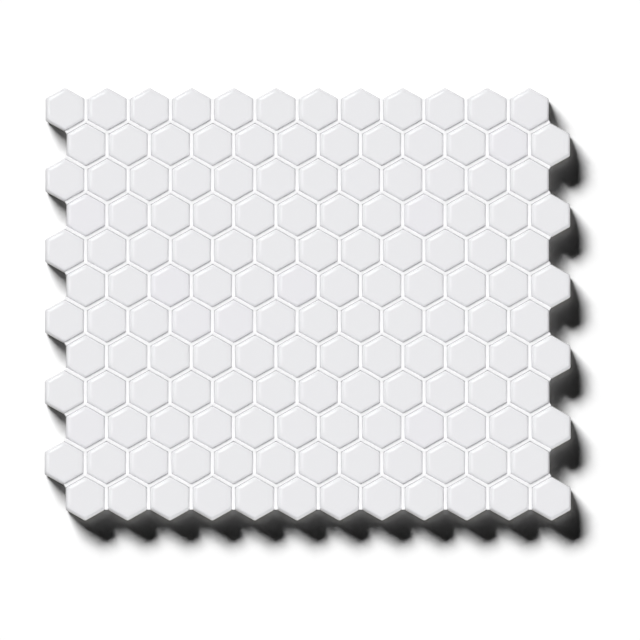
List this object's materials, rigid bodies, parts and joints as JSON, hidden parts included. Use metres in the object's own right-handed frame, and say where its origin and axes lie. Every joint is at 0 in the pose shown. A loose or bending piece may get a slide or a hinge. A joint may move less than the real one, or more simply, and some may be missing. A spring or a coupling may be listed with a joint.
{
  "type": "mosaic tile sheet",
  "caption": "Flat sheet of white glazed hexagon mosaic tiles in staggered rows, joined by a white joint filler on a glass-fibre mesh, for bonding to a wall or floor.",
  "frame": {"origin": "middle of the sheet's underside, on the surface that it lies on", "axes": "+X along the rows of tiles, +Y across the rows towards the first row, +Z out of the glazed face"},
  "size_m": [0.3104, 0.2648, 0.0045],
  "materials": {
    "glazed_tile": "white glossy glaze with softly rounded edges",
    "joint_filler": "matt white flexible filler, set back below the tiles' edges",
    "glass_mesh": "off-white resin-coated glass-fibre yarn"
  },
  "bodies": {
    "root": {"tile_row_01": "glazed_tile", "tile_row_02": "glazed_tile", "tile_row_03": "glazed_tile", "tile_row_04": "glazed_tile", "tile_row_05": "glazed_tile", "tile_row_06": "glazed_tile", "tile_row_07": "glazed_tile", "tile_row_08": "glazed_tile", "tile_row_09": "glazed_tile", "tile_row_10": "glazed_tile", "tile_row_11": "glazed_tile", "tile_row_12": "glazed_tile", "joint_filler": "joint_filler", "mesh_long_yarns": "glass_mesh", "mesh_cross_yarns": "glass_mesh"}
  },
  "joints": []
}
